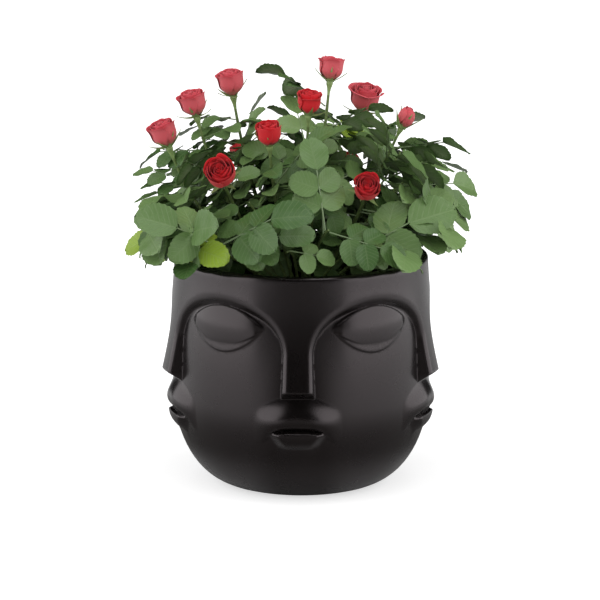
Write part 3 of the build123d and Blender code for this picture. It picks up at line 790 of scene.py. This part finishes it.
def stem_piece(name, line, widths):
    """A round stem along a line of points, with its own thickness at each."""
    curve = bpy.data.curves.new(name, "CURVE")
    curve.dimensions = "3D"
    curve.bevel_depth = mm
    curve.bevel_resolution = 2
    curve.use_fill_caps = True
    spline = curve.splines.new("POLY")
    spline.points.add(len(line) - 1)
    for point, place, width in zip(spline.points, line, widths):
        point.co = (*place, 1)
        point.radius = width
    stem = bpy.data.objects.new(name, curve)
    scene.collection.objects.link(stem)
    select_only(stem)
    bpy.ops.object.convert(target="MESH")
    return stem


def axes_round(facing):
    """A turn whose Z runs along a direction, as three columns."""
    side = np.cross([0, 0, 1], facing)
    side = unit(side) if np.linalg.norm(side) > 0.01 else np.array([1.0, 0, 0])
    return np.column_stack([side, np.cross(facing, side), facing])


def thorns_along(line, widths, count):
    """Small cones that point a little down the stem."""
    found = []
    for _ in range(count):
        at = cane_draw.randrange(3, len(line) - 4)
        along = unit(line[at + 1] - line[at])
        turned = axes_round(along) @ np.array([math.cos(2.4 * at), math.sin(2.4 * at), 0])
        point = turned - along * 0.35
        foot = line[at] + turned * widths[at] * 0.8 * mm
        bpy.ops.mesh.primitive_cone_add(vertices=6, radius1=0.55 * mm, depth=2.1 * mm,
                                        location=foot + point * 0.9 * mm,
                                        rotation=Vector(point).to_track_quat("Z", "Y").to_euler())
        found.append(bpy.context.object)
    return found


def place_in_mesh(piece, axes, origin, size):
    spot = vertex_places(piece)
    place_vertices(piece, (spot * size) @ axes.T + origin)


def hip_piece(base, facing, size):
    """The round green hip under a bloom."""
    shape = [(0.0, -12.0), (1.05, -11.8), (1.25, -9.0), (1.6, -6.4), (2.2, -4.4), (2.75, -2.6), (2.8, -1.6),
             (2.6, -0.7), (2.2, -0.1), (0, 0)]
    piece = turned_piece("hip", shape, 12)
    place_in_mesh(piece, axes_round(facing), base, size)
    return piece


sheet_rows = 8


def sepal_piece(base, facing, size, turn, lift, curl):
    """One narrow pointed sepal, rooted at the hip's shoulder and curved out and down."""
    piece, along, up = sheet(sheet_rows, 2)
    across = up * 2 - 1
    half = sepal_width * 0.75 * np.sqrt(np.maximum(1 - along, 0.004)) * (0.55 + 0.45 * np.cos(2.2 * along))
    out = 1.9 + sepal_length * (0.34 + 0.60 * math.sin(lift)) * along ** 1.1
    rise = -0.6 + sepal_length * (math.cos(lift) * along + 0.28 * along ** 2.5 * math.sin(lift))
    side = across * half + 1.2 * curl * along ** 2
    out = out - np.abs(across) * 0.35
    spot = np.column_stack([out * math.cos(turn) - side * math.sin(turn),
                            out * math.sin(turn) + side * math.cos(turn), rise]) * mm
    place_vertices(piece, spot)
    close_up(piece)
    apply_modifier(piece, "SOLIDIFY", thickness=0.35 * mm, offset=0)
    place_in_mesh(piece, axes_round(facing), base, size)
    return piece


bark = plain_material("green_bark", (0.125, 0.185, 0.055), 0.5, 3.0, 0.35, 0.15)
sepal_green = plain_material("sepal_green", (0.24, 0.34, 0.12), 0.5, 4.0, 0.25, 0.1)
bloom_seats = {}
cane_lines = {}
for number in range(1, 13):
    bloom = solids_of(f"rose_bloom_{number:02d}")[0]
    cap = min(bloom[1], key=lambda item: abs(item[2] - bloom_foot_radius))
    facing = -cap[1]
    size = cap[2] / bloom_foot_radius
    base = cap[0] - facing * bloom_gap * mm
    bloom_seats[number] = (base, facing, size)
    cane = solids_of(f"rose_cane_{number:02d}")[0]
    root = min(cane[1], key=lambda item: item[0][2])[0]
    line = bent_line(root, base - facing * hip_height * size * mm, facing, 26)
    widths = stem_widths(line, *cane_widths)
    cane_lines[number] = line
    length = np.linalg.norm(np.diff(line, axis=0), axis=1).sum() / mm
    parts = [stem_piece("cane", line, widths)]
    parts += thorns_along(line, widths, round(length / thorn_spacing))
    for part in parts:
        dress(part, bark)
    parts.append(hip_piece(base, facing, size))
    spread = cane_draw.uniform(0, 1)
    for index in range(sepal_count):
        turn = 2 * math.pi * (index + spread) / sepal_count
        bud = number == bud_number
        lift = math.radians(8 + 34 * (index % 2) if bud else 34 + 62 * cane_draw.random())
        curl = cane_draw.uniform(-1, 1)
        parts.append(sepal_piece(base, facing, size * (bud_sepal_growth if bud else 1.0), turn, lift, curl))
    for part in parts:
        if not part.data.materials:
            dress(part, sepal_green)
    piece = join_pieces(parts, f"rose_stem_{number:02d}")
    smooth_below(50)
    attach(piece, "liner")
    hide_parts(f"rose_cane_{number:02d}")


# Rose blooms
# Small urn-shaped hybrid roses: a tight scrolled heart wrapped by rings of petals that open wider
# outwards and roll back at their lips. The front ones are deep red, the back ones a dusty pink.
bloom_height = 21.0
petal_wall = 0.34
heart_radius = 3.4
heart_turns = 2.4
bud_heart_radius = 2.6
petal_overlap = 1.32
# Each ring of petals: how many, its foot, belly and lip radius in millimetres, and its height
petal_rings = [(3, 2.4, 4.5, 3.4, 20.8), (4, 2.9, 6.2, 5.4, 21.2), (4, 3.4, 7.8, 7.2, 20.8),
               (4, 4.0, 9.2, 9.3, 19.8)]
bud_rings = [(3, 2.4, 5.6, 3.0, 21.5), (3, 3.0, 7.6, 4.6, 19.8)]
# How far each bloom's lips roll out, from 0, closed, to 1, wide open
bloom_flares = [0.6, 0.35, 0.35, 0.35, 0.0, 0.25, 0.8, 1.0, 0.1, 0.0, 0.4, 0.4]
flower_draw = random.Random(8)


def petal_piece(middle, arc, foot, belly, lip, height, flare_out):
    """One petal: narrow at its foot, cupped round the bloom, its lip rolled out and a little wavy."""
    piece, share, up = sheet(8, 7)
    across = share * 2 - 1
    wave = flower_draw.uniform(0, 6)
    lean = flower_draw.uniform(-0.5, 0.5)
    curl = flare_out * flower_draw.uniform(0.3, 1.6)
    spread = arc * (0.42 + 0.58 * np.sin(np.minimum(up * 1.25, 1) * math.pi / 2)) * (1 - 0.22 * up ** 6)
    turn = middle + across * spread / 2
    cup = foot + (belly - foot) * np.sin(np.minimum(up / 0.42, 1) * math.pi / 2) ** 0.75
    flare = (lip - belly + 1.6 * curl) * np.clip((up - 0.5) / 0.5, 0, 1) ** 2.2
    roll = (0.25 + 1.5 * curl) * np.clip((up - 0.80) / 0.20, 0, 1) ** 2
    radius = cup + flare + 0.75 * across * (0.4 + 0.6 * up) + 0.35 * np.sin(3.4 * across + wave) * up ** 3
    radius = radius + roll * 0.6 + 0.5 * across ** 2 * up
    top = 1 - 0.13 * across ** 2 * up - 0.05 * np.cos(2 * across + lean) * up ** 4
    rise = 1.2 + (height - 1.2) * up * top - roll * 1.1 * (1 - 0.3 * across ** 2)
    rise = rise + 0.25 * np.sin(5 * across + wave) * up ** 4
    place_vertices(piece, np.column_stack([radius * np.cos(turn), radius * np.sin(turn), rise]) * mm)
    store(piece.data, "up", up)
    return piece


def heart_piece(radius, height, turns):
    """The scrolled heart: one sheet wound inwards, highest in the middle."""
    piece, along, up = sheet(44, 4)
    turn = along * turns * 2 * math.pi
    out = radius * (1 - 0.86 * along) * (0.72 + 0.28 * np.sin(up * math.pi * 0.72))
    rise = 1.2 + (height - 1.2) * up * (0.93 + 0.05 * along)
    place_vertices(piece, np.column_stack([out * np.cos(turn), out * np.sin(turn), rise]) * mm)
    store(piece.data, "up", up * 0.85)
    return piece


def bloom_piece(name, rings, heart, seat, flare):
    """All the petals of one bloom, thickened, smoothed and set on its seat."""
    base, facing, size = seat
    parts = [heart_piece(heart, rings[0][4] - 0.6, heart_turns)]
    start = flower_draw.uniform(0, 2 * math.pi)
    for ring, (count, foot, belly, lip, height) in enumerate(rings):
        arc = 2 * math.pi / count * petal_overlap
        for index in range(count):
            middle = start + ring * 0.75 + 2 * math.pi * index / count
            tall = height * flower_draw.uniform(0.93, 1.0)
            parts.append(petal_piece(middle, arc, foot, belly, lip, tall, flare * max(ring - 1, 0) / 2))
    bottom = turned_piece("bottom", [(0, 0), (2.2, 0), (3.6, 1.3), (3.2, 1.8), (0, 1.8)], 20)
    petals = join_pieces(parts, name)
    apply_modifier(petals, "SOLIDIFY", thickness=petal_wall * mm, offset=0)
    apply_modifier(petals, "SUBSURF", levels=1, render_levels=1)
    bottom.data.attributes.new("up", "FLOAT", "POINT")
    bloom = join_pieces([petals, bottom], name)
    place_in_mesh(bloom, axes_round(facing), base + facing * bloom_gap * mm, size)
    bpy.ops.object.shade_smooth()
    return bloom


def petal_material(name, foot_colour, body_colour, lip_colour):
    """Velvety petals: paler where they are rooted, deepest in the body, with a fine mottle."""
    material, tree, shader = new_material(name)
    mottle = noise_over(tree, 260, 3)
    lift = combine(tree, "MULTIPLY_ADD", mottle, 0.16, stored(tree, "up"))
    lift = combine(tree, "ADD", lift, -0.08)
    stops = ((0.05, foot_colour), (0.97, lip_colour), (0.30, body_colour), (0.82, body_colour))
    feed(tree, shader, {"Base Color": colours_along(tree, lift, *stops), "Roughness": 0.62,
                        "Sheen Weight": 0.12, "Sheen Roughness": 0.5, "Subsurface Weight": 0.12,
                        "Subsurface Radius": (0.004, 0.001, 0.001),
                        "Normal": bumps(tree, mottle, 0.25, 0.15)})
    return material


deep_red = petal_material("deep_red_petal", (0.34, 0.030, 0.025), (0.64, 0.006, 0.014),
                          (0.60, 0.006, 0.015))
dusty_pink = petal_material("dusty_pink_petal", (0.54, 0.14, 0.12), (0.62, 0.085, 0.105),
                            (0.62, 0.060, 0.085))
pink_blooms = (1, 2, 3, 4, 8, 10)
for number, seat in bloom_seats.items():
    if number == bud_number:
        bloom = bloom_piece("rosebud_10", bud_rings, bud_heart_radius, seat, 0)
    else:
        bloom = bloom_piece(f"rose_flower_{number:02d}", petal_rings, heart_radius, seat,
                            bloom_flares[number - 1])
    dress(bloom, dusty_pink if number in pink_blooms else deep_red)
    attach(bloom, "liner")
    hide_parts(f"rose_bloom_{number:02d}")


# Rose leaves
# Compound leaves of three or five toothed leaflets on a thin stalk, deep green and a little
# leathery above, paler below, with a few young yellow-green ones, most of them on the left of the bush.
leaf_stalk_radius = 0.65
leaf_stalk_length = 16.0
leaflet_spacing = 12.0
leaflet_length = 22.5
leaflet_width = 17.5
side_leaflet_share = 0.88
leaflet_angle = math.radians(62)
leaflet_droop = math.radians(14)
end_droop = math.radians(22)
blade_fold = math.radians(11)
teeth_rows = 16
rib_step = 4
stalk_sides = 5
stalk_rings = 5
vein_count = 8
vein_slant = 0.55
vein_tone = 0.15
spare_per_cane = 8
cane_leaf_span = (0.30, 0.80)
cane_leaf_growth = 0.95
cane_leaf_youth = 0.06
leaf_tries = 26
least_room = 4.5
leaf_tilt = 35
rim_band = (74, 99)
above_rim = 177
beside_rim = 167
bush_heights = (152, 306)
bush_half = (128, 115)
dome_foot = 165
dome_rise = 140
dome_half = (126, 112)
dome_fall = (0.42, 0.30)
bloom_room = 15
bloom_window = 13
cane_window = 6.5
canes_in_view = (5, 6, 7, 9)
leaf_draw = random.Random(21)

blade, blade_along, blade_up = sheet(teeth_rows, 4)
blade_across = blade_up * 2 - 1
blade_faces = [tuple(face.vertices) for face in blade.data.polygons]
bpy.data.objects.remove(blade)
row_of = {(round(along * teeth_rows), round(across * 2)): index
          for index, (along, across) in enumerate(zip(blade_along, blade_across))}
ribs = {0: row_of[0, 0], teeth_rows: row_of[teeth_rows, 0]}
for row in range(rib_step, teeth_rows, rib_step):
    ribs[row] = len(blade_along)
    blade_along = np.append(blade_along, row / teeth_rows)
    blade_across = np.append(blade_across, 0)
blade_under = np.arange(len(blade_along)) >= len(row_of)
for row in range(0, teeth_rows, rib_step):
    for edge in (-2, 2):
        rim = [row_of[step, edge] for step in range(row, row + rib_step + 1)]
        loop = [ribs[row + rib_step], ribs[row], *rim]
        blade_faces.append(tuple(loop if edge > 0 else reversed(loop)))


def leaflet_spots(length, width, droop, fold):
    """The corners of one toothed leaflet that grows along +X from the origin, face up."""
    row = np.rint(blade_along * teeth_rows).astype(int)
    half = 2.24 * np.maximum(blade_along, 0) ** 0.50 * np.maximum(1 - blade_along, 0) ** 0.58 * width / 2
    rim = np.abs(blade_across) > 0.99
    tooth = np.where(rim & (row % 2 == 1), 1.02, np.where(rim, 0.965, 1.0))
    side = blade_across * half * tooth
    along = blade_along * length + np.where(rim & (row % 2 == 1), 0.018 * length, 0)
    curl = leaf_draw.uniform(0.02, 0.16)
    cup = fold + leaf_draw.uniform(-0.05, 0.18)
    wave = leaf_draw.uniform(0, 6)
    rise = np.abs(side) * math.tan(cup) - curl * length * blade_along ** 2
    rise = rise - 0.10 * width * (np.abs(blade_across) ** 2) * blade_along * leaf_draw.uniform(0.2, 1.0)
    rise = rise + 0.022 * width * np.sin(blade_along * 14 + wave) * np.abs(blade_across) ** 1.5
    rise = rise - np.where(blade_under, 0.55, 0)
    return np.column_stack([along * math.cos(droop) + rise * math.sin(droop), side,
                            -along * math.sin(droop) + rise * math.cos(droop)])


def stalk_spots(length):
    """A thin stalk along +X, stoutest at its foot."""
    spots = []
    for ring in range(stalk_rings):
        share = ring / (stalk_rings - 1)
        width = leaf_stalk_radius * (1.0 - 0.40 * share)
        for side in range(stalk_sides):
            turn = 2 * math.pi * side / stalk_sides
            spots.append((length * share, width * math.cos(turn), width * math.sin(turn)))
    return np.array(spots)


stalk_faces = [tuple(reversed(range(stalk_sides))),
               tuple(range((stalk_rings - 1) * stalk_sides, stalk_rings * stalk_sides))]
for ring in range(stalk_rings - 1):
    for side in range(stalk_sides):
        after = (side + 1) % stalk_sides
        stalk_faces.append((ring * stalk_sides + side, ring * stalk_sides + after,
                            (ring + 1) * stalk_sides + after, (ring + 1) * stalk_sides + side))


def leaf_frames(node):
    """Each leaf of a CAD node: its foot, its axes as columns, its growth and its pairs of leaflets."""
    frames = []
    for corners, caps in solids_of(node):
        middle = corners.mean(axis=0)
        foot, out, radius = max(caps, key=lambda item: np.linalg.norm(item[0] - middle))
        growth = radius / leaf_stalk_radius
        aim = -out
        along = (corners - foot) @ aim
        reach = along.max() / mm / growth
        tip = corners[along > along.max() - 1.0 * mm].mean(axis=0) - foot
        down = tip - aim * (tip @ aim)
        face = unit(-down)
        pairs = 2 if reach > 54 else 1
        frames.append((foot, np.column_stack([aim, np.cross(face, aim), face]), growth, pairs))
    return frames


def leaf_blades(pairs):
    """Each leaflet of a leaf: where it stands on the stalk, its turn, its size and its droop."""
    blades = [(leaf_stalk_length + leaflet_spacing * pairs, 0, 1.0, end_droop)]
    for index in range(pairs):
        for side in (-1, 1):
            blades.append((leaf_stalk_length + leaflet_spacing * index, side * leaflet_angle,
                           side_leaflet_share, leaflet_droop))
    return blades


def leaf_marks(leaf):
    """A few places over a leaf, which show whether it has room."""
    foot, axes, growth, pairs = leaf
    marks = []
    for at, turn, share, droop in leaf_blades(pairs):
        for along in (0.2, 0.5, 0.8):
            for across in (-0.35, 0.35):
                reach = along * leaflet_length * share * math.cos(droop)
                side = across * leaflet_width * share
                marks.append((at + reach * math.cos(turn) - side * math.sin(turn),
                              reach * math.sin(turn) + side * math.cos(turn),
                              -along * leaflet_length * share * math.sin(droop)))
    return np.array(marks) * growth * mm @ axes.T + foot


def hides(marks, spot, reach):
    """Whether a leaf hangs in front of a place, seen from a little above."""
    front = marks - spot
    return ((front[:, 1] < 0) & (np.hypot(front[:, 0], front[:, 2] - front[:, 1] * 0.2) < reach * mm)).any()


def stands_clear(marks):
    """Whether a leaf keeps off the pot and the blooms, and inside the bush."""
    x, y, z = (marks / mm).T
    out = np.hypot(x, y)
    lowest = np.select([out > rim_band[1], out > rim_band[0]], [beside_rim, above_rim], bush_heights[0])
    dome = 1 - dome_fall[0] * (x / dome_half[0]) ** 2 - dome_fall[1] * (y / dome_half[1]) ** 2
    highest = np.minimum(bush_heights[1], dome_foot + dome_rise * dome)
    if ((z < lowest) | (z > highest) | (np.abs(x) > bush_half[0]) | (np.abs(y) > bush_half[1])).any():
        return False
    for base, facing, size in bloom_seats.values():
        middle = base + facing * 0.5 * bloom_height * size * mm
        if (np.linalg.norm(marks - middle, axis=1) < bloom_room * size * mm).any():
            return False
        if hides(marks, middle, bloom_window):
            return False
    return not any(hides(marks, spot, cane_window)
                   for number in canes_in_view for spot in cane_lines[number][8::2])


def spare_leaves(line, first, last, count, growth):
    """Further leaves up a cane, each turned the way that has the most room."""
    found = []
    for index in range(count):
        place_share = first + (last - first) * (index + leaf_draw.uniform(0.1, 0.9)) / count
        at = min(int(place_share * (len(line) - 1)), len(line) - 2)
        along = unit(line[at + 1] - line[at])
        foot = np.array(line[at])
        low_front = foot[1] < -0.02 and foot[2] < 0.205 and abs(foot[0]) < 0.065
        size = growth * leaf_draw.uniform(0.85, 1.2) * (1.22 if low_front else 1.0)
        pairs = 2 if leaf_draw.random() < 0.5 and not low_front else 1
        taken = np.concatenate(leaf_air)
        room = kdtree.KDTree(len(taken))
        for spot_index, spot in enumerate(taken):
            room.insert(spot, spot_index)
        room.balance()
        best, best_room = None, least_room * mm
        for _ in range(leaf_tries):
            turn = leaf_draw.uniform(0, 2 * math.pi)
            lift = math.radians(leaf_draw.uniform(-leaf_tilt, leaf_tilt))
            aim = np.array([math.cos(turn) * math.cos(lift), math.sin(turn) * math.cos(lift), math.sin(lift)])
            if abs(aim @ along) > 0.8:
                continue
            outward = unit(np.array([foot[0], foot[1] - 0.01, 0]))
            face = outward * 0.55 + np.array([0, -0.45, leaf_draw.uniform(0.35, 0.8)])
            face = face - aim * (face @ aim)
            if np.linalg.norm(face) < 0.3:
                continue
            face = unit(face)
            leaf = (foot, np.column_stack([aim, np.cross(face, aim), face]), size, pairs)
            marks = leaf_marks(leaf)
            if not stands_clear(marks):
                continue
            nearest = sorted(room.find(spot)[2] for spot in marks)
            space = nearest[0] * 0.5 + nearest[len(nearest) // 2] * 0.5
            if space > best_room:
                best, best_room = leaf, space
        if best is not None:
            found.append(best)
            leaf_air.append(leaf_marks(best))
    return found


def foliage_piece(name, leaves, youth):
    """All the leaves of one cane or clump of shoots."""
    spots, faces, places, tint, young, under = [], [], [], [], [], []
    start = 0
    for foot, axes, growth, pairs in leaves:
        length = leaf_stalk_length + leaflet_spacing * pairs
        shade = leaf_draw.random()
        age = 1.0 if leaf_draw.random() < (youth if foot[0] < -0.055 else 0.2 * youth) else 0.0
        blades = leaf_blades(pairs)
        parts = [(stalk_spots(length), stalk_faces, np.zeros((stalk_rings * stalk_sides, 2)),
                  np.full(stalk_rings * stalk_sides, 0.6))]
        for at, turn, share, droop in blades:
            share *= leaf_draw.uniform(1.0, 1.14)
            leaflet = leaflet_spots(leaflet_length * share, leaflet_width * share, droop, blade_fold)
            spin = Matrix.Rotation(-(turn + leaf_draw.uniform(-0.08, 0.08)), 3, "Z")
            leaflet = leaflet @ np.array(spin) + [at - 0.3, 0, 0]
            parts.append((leaflet, blade_faces, np.column_stack([blade_along, blade_across * 0.5 + 0.5]),
                          blade_under.astype(float)))
        for corners, shape, flat, below in parts:
            spots.append(corners * growth * mm @ axes.T + foot)
            faces += [tuple(corner + start for corner in face) for face in shape]
            start += len(corners)
            places.append(flat)
            under.append(below)
            tint.append(np.full(len(corners), np.clip(shade + leaf_draw.uniform(-0.15, 0.15), 0, 1)))
            young.append(np.full(len(corners), age))
    piece = mesh_piece(name, spots, faces, {"tint": tint, "young": young, "under": under}, places)
    close_up(piece)
    smooth_below(50)
    return piece


leaf, tree, shader = new_material("rose_leaf")
tint, young, under = (stored(tree, name) for name in ("tint", "young", "under"))
spot = add_node(tree, "UVMap", uv_map="leaf").outputs["UV"]
parts = add_node(tree, "SeparateXYZ", {0: spot})
from_rib = combine(tree, "ABSOLUTE", combine(tree, "SUBTRACT", parts.outputs["Y"], 0.5))
slant = combine(tree, "MULTIPLY_ADD", from_rib, -vein_slant, parts.outputs["X"])
wave = combine(tree, "SINE", combine(tree, "MULTIPLY", slant, 2 * math.pi * vein_count))
lines = combine(tree, "MAXIMUM", fade(tree, wave, 0.72, 1, 0, 1), fade(tree, from_rib, 0, 0.05, 1, 0))
green = colours_along(tree, tint, (0, (0.048, 0.112, 0.024)), (1, (0.180, 0.290, 0.098)))
green = mix_colours(tree, young, green, (0.24, 0.36, 0.03))
green = mix_colours(tree, under, green, (0.22, 0.29, 0.16))
green = mix_colours(tree, combine(tree, "MULTIPLY", lines, vein_tone), green, (0.27, 0.35, 0.17))
blotch = noise_over(tree, 190, 2)
hollow = combine(tree, "MULTIPLY_ADD", lines, -1, blotch)
feed(tree, shader, {"Base Color": green, "Roughness": vary(tree, blotch, 0.30, 0.48),
                    "Specular IOR Level": 0.5, "Normal": bumps(tree, hollow, 0.5, 0.25)})

cane_leaves = {number: leaf_frames(f"rose_foliage_{number:02d}") for number in range(1, 13)}
shoot_leaves = {number: leaf_frames(f"shoot_foliage_{number:02d}") for number in range(1, 10)}
leaf_air = [leaf_marks(leaf) for leaves in (*cane_leaves.values(), *shoot_leaves.values()) for leaf in leaves]
for number in range(1, 13):
    leaves = cane_leaves[number] + spare_leaves(cane_lines[number], *cane_leaf_span, spare_per_cane,
                                                cane_leaf_growth)
    foliage = foliage_piece(f"rose_leaves_{number:02d}", leaves, cane_leaf_youth)
    dress(foliage, leaf)
    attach(foliage, "liner")
    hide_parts(f"rose_foliage_{number:02d}")


# Leafy shoots
# Shorter stems without a bloom that fill out the foot of the bush and hang their leaves over the
# pot's rim. Two grow in each clump.
shoot_widths = (1.20, 0.50, 0.12)
spare_per_shoot = 9
shoot_leaf_span = (0.30, 1.0)
shoot_leaf_growth = 1.15
shoot_leaf_youth = 0.12

for number in range(1, 10):
    stems = []
    for corners, caps in solids_of(f"leafy_shoots_{number:02d}"):
        caps = sorted(caps, key=lambda item: item[0][2])
        root, (tip, facing, _) = caps[0][0], caps[-1]
        line = bent_line(root, tip, facing, 20)
        stems.append(stem_piece("shoot", line, stem_widths(line, *shoot_widths)))
        shoot_leaves[number] += spare_leaves(line, *shoot_leaf_span, spare_per_shoot, shoot_leaf_growth)
    stem = join_pieces(stems, f"shoot_stems_{number:02d}")
    smooth_below(50)
    dress(stem, bark)
    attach(stem, "liner")
    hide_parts(f"leafy_shoots_{number:02d}")
    foliage = foliage_piece(f"shoot_leaves_{number:02d}", shoot_leaves[number], shoot_leaf_youth)
    dress(foliage, leaf)
    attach(foliage, "liner")
    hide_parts(f"shoot_foliage_{number:02d}")
